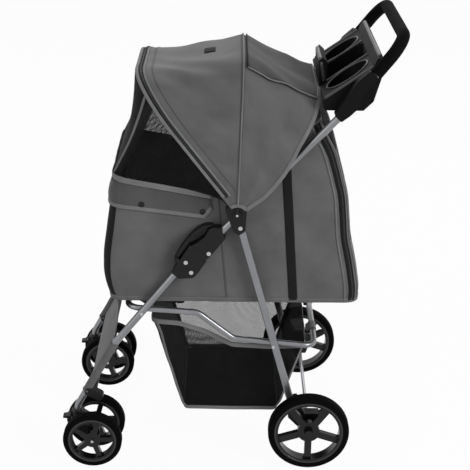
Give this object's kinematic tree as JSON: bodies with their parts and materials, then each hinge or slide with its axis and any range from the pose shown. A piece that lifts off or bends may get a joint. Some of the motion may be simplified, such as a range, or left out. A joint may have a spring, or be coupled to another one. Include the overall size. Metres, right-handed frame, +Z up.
{
  "type": "pet stroller",
  "caption": "Folding pet stroller: tube frame with twin-wheel casters and large rear wheels, cloth cabin with canopy and window, basket below, cup tray under a foam-grip handle.",
  "frame": {"origin": "on the floor under the middle of the stroller's outline", "axes": "+X towards the handle and the person pushing, the front wheels are at -X; +Y across the stroller; +Z up from the floor"},
  "size_m": [0.7034, 0.455, 0.9517],
  "materials": {
    "silver_tube": "satin silver",
    "black_plastic": "moulded, fine texture",
    "wheel_plastic": "moulded, semi-gloss",
    "wheel_tread": "matte foamed tread",
    "steel": "zinc plated",
    "grip_foam": "matte foam",
    "grey_cloth": "plain weave polyester",
    "black_mesh": "open mesh",
    "mat_cloth": "padded cloth",
    "strap_webbing": "woven webbing"
  },
  "bodies": {
    "front_frame": {"front_leg_left": "silver_tube", "front_leg_right": "silver_tube", "fold_housing_lower_left": "black_plastic", "fold_housing_lower_right": "black_plastic", "caster_socket_left": "black_plastic", "caster_socket_right": "black_plastic", "front_crossbar": "black_plastic", "front_rivets": "steel", "leg_panel": "grey_cloth"},
    "upper_frame": {"handle_frame": "silver_tube", "handle_grip": "grip_foam", "fold_housing_upper_left": "black_plastic", "fold_housing_upper_right": "black_plastic", "pivot_bracket_left": "black_plastic", "pivot_bracket_right": "black_plastic", "tray_bracket_left": "black_plastic", "tray_bracket_right": "black_plastic", "bracket_screws": "steel", "cup_tray": "black_plastic", "cabin_tub": "grey_cloth", "floor_mat": "mat_cloth", "front_window": "black_mesh", "under_straps": "strap_webbing", "window_flap": "grey_cloth"},
    "canopy_mid": {"canopy_bow_mid": "steel", "canopy_rear": "grey_cloth", "roof_flap": "grey_cloth"},
    "canopy_front": {"canopy_bow_front": "steel", "canopy_front": "grey_cloth"},
    "rear_frame": {"rear_leg_left": "silver_tube", "rear_leg_right": "silver_tube", "brake_housing_left": "black_plastic", "brake_housing_right": "black_plastic", "rear_rivets": "steel", "rear_axle": "steel", "rear_axle_caps": "wheel_plastic"},
    "rail": {"basket_rail": "silver_tube", "basket": "black_mesh"},
    "fold_latch_left": {"fold_latch_left": "black_plastic"},
    "brake_pedal_left": {"brake_pedal_left": "black_plastic"},
    "rear_wheel_left": {"rear_rim_left": "wheel_plastic", "rear_tyre_left": "wheel_tread"},
    "caster_left": {"caster_fork_left": "black_plastic", "caster_axle_left": "steel"},
    "caster_lock_left": {"caster_lock_left": "black_plastic"},
    "front_wheel_left_inner": {"front_rim_left_inner": "wheel_plastic", "front_tyre_left_inner": "wheel_tread"},
    "front_wheel_left_outer": {"front_rim_left_outer": "wheel_plastic", "front_tyre_left_outer": "wheel_tread"},
    "fold_latch_right": {"fold_latch_right": "black_plastic"},
    "brake_pedal_right": {"brake_pedal_right": "black_plastic"},
    "rear_wheel_right": {"rear_rim_right": "wheel_plastic", "rear_tyre_right": "wheel_tread"},
    "caster_right": {"caster_fork_right": "black_plastic", "caster_axle_right": "steel"},
    "caster_lock_right": {"caster_lock_right": "black_plastic"},
    "front_wheel_right_inner": {"front_rim_right_inner": "wheel_plastic", "front_tyre_right_inner": "wheel_tread"},
    "front_wheel_right_outer": {"front_rim_right_outer": "wheel_plastic", "front_tyre_right_outer": "wheel_tread"}
  },
  "joints": [
    {"name": "fold", "type": "hinge", "parent": "front_frame", "child": "upper_frame", "pos_m": [-0.073, 0, 0.448], "axis": [0, 1, 0], "range_deg": [0, 140], "deforming": ["cabin_tub", "front_window", "under_straps", "window_flap", "floor_mat", "basket", "leg_panel", "canopy_front", "canopy_rear", "roof_flap"]},
    {"name": "rear_leg_fold", "type": "hinge", "parent": "upper_frame", "child": "rear_frame", "pos_m": [0.027, 0, 0.548], "axis": [0, 1, 0], "range_deg": [-90, 0]},
    {"name": "rail_fold", "type": "hinge", "parent": "front_frame", "child": "rail", "pos_m": [-0.177, 0, 0.35], "axis": [0, 1, 0], "range_deg": [0, 90]},
    {"name": "canopy_collapse", "type": "hinge", "parent": "upper_frame", "child": "canopy_mid", "pos_m": [0.02, 0, 0.577], "axis": [0, 1, 0], "range_deg": [0, 28]},
    {"name": "canopy_open", "type": "hinge", "parent": "canopy_mid", "child": "canopy_front", "pos_m": [0.02, 0, 0.577], "axis": [0, 1, 0], "range_deg": [0, 25], "deforming": ["canopy_front"]},
    {"name": "fold_latch_left", "type": "hinge", "parent": "front_frame", "child": "fold_latch_left", "pos_m": [-0.10274, -0.175, 0.47557], "axis": [0, -1, 0], "range_deg": [0, 35]},
    {"name": "brake_pedal_left", "type": "hinge", "parent": "rear_frame", "child": "brake_pedal_left", "pos_m": [0.203, -0.179, 0.109], "axis": [0, 1, 0], "range_deg": [0, 20]},
    {"name": "rear_wheel_spin_left", "type": "hinge", "parent": "rear_frame", "child": "rear_wheel_left", "pos_m": [0.181, -0.2105, 0.0875], "axis": [0, 1, 0], "continuous": true},
    {"name": "caster_swivel_left", "type": "hinge", "parent": "front_frame", "child": "caster_left", "pos_m": [-0.319, -0.175, 0.084], "axis": [0, 0, 1], "continuous": true},
    {"name": "caster_lock_left", "type": "hinge", "parent": "caster_left", "child": "caster_lock_left", "pos_m": [-0.338, -0.175, 0.098], "axis": [0, 1, 0], "range_deg": [0, 20]},
    {"name": "front_wheel_spin_left_inner", "type": "hinge", "parent": "caster_left", "child": "front_wheel_left_inner", "pos_m": [-0.285, -0.1355, 0.0635], "axis": [0, 1, 0], "continuous": true},
    {"name": "front_wheel_spin_left_outer", "type": "hinge", "parent": "caster_left", "child": "front_wheel_left_outer", "pos_m": [-0.285, -0.2145, 0.0635], "axis": [0, 1, 0], "continuous": true},
    {"name": "fold_latch_right", "type": "hinge", "parent": "front_frame", "child": "fold_latch_right", "pos_m": [-0.10274, 0.175, 0.47557], "axis": [0, -1, 0], "range_deg": [0, 35]},
    {"name": "brake_pedal_right", "type": "hinge", "parent": "rear_frame", "child": "brake_pedal_right", "pos_m": [0.203, 0.179, 0.109], "axis": [0, 1, 0], "range_deg": [0, 20]},
    {"name": "rear_wheel_spin_right", "type": "hinge", "parent": "rear_frame", "child": "rear_wheel_right", "pos_m": [0.181, 0.2105, 0.0875], "axis": [0, 1, 0], "continuous": true},
    {"name": "caster_swivel_right", "type": "hinge", "parent": "front_frame", "child": "caster_right", "pos_m": [-0.319, 0.175, 0.084], "axis": [0, 0, 1], "continuous": true},
    {"name": "caster_lock_right", "type": "hinge", "parent": "caster_right", "child": "caster_lock_right", "pos_m": [-0.338, 0.175, 0.098], "axis": [0, 1, 0], "range_deg": [0, 20]},
    {"name": "front_wheel_spin_right_inner", "type": "hinge", "parent": "caster_right", "child": "front_wheel_right_inner", "pos_m": [-0.285, 0.1355, 0.0635], "axis": [0, 1, 0], "continuous": true},
    {"name": "front_wheel_spin_right_outer", "type": "hinge", "parent": "caster_right", "child": "front_wheel_right_outer", "pos_m": [-0.285, 0.2145, 0.0635], "axis": [0, 1, 0], "continuous": true}
  ],
  "couplings": [
    {"joint": "rear_leg_fold", "follows": "fold", "ratio": -0.64286},
    {"joint": "rail_fold", "follows": "fold", "ratio": 0.64286},
    {"joint": "canopy_collapse", "follows": "fold", "ratio": 0.2}
  ]
}
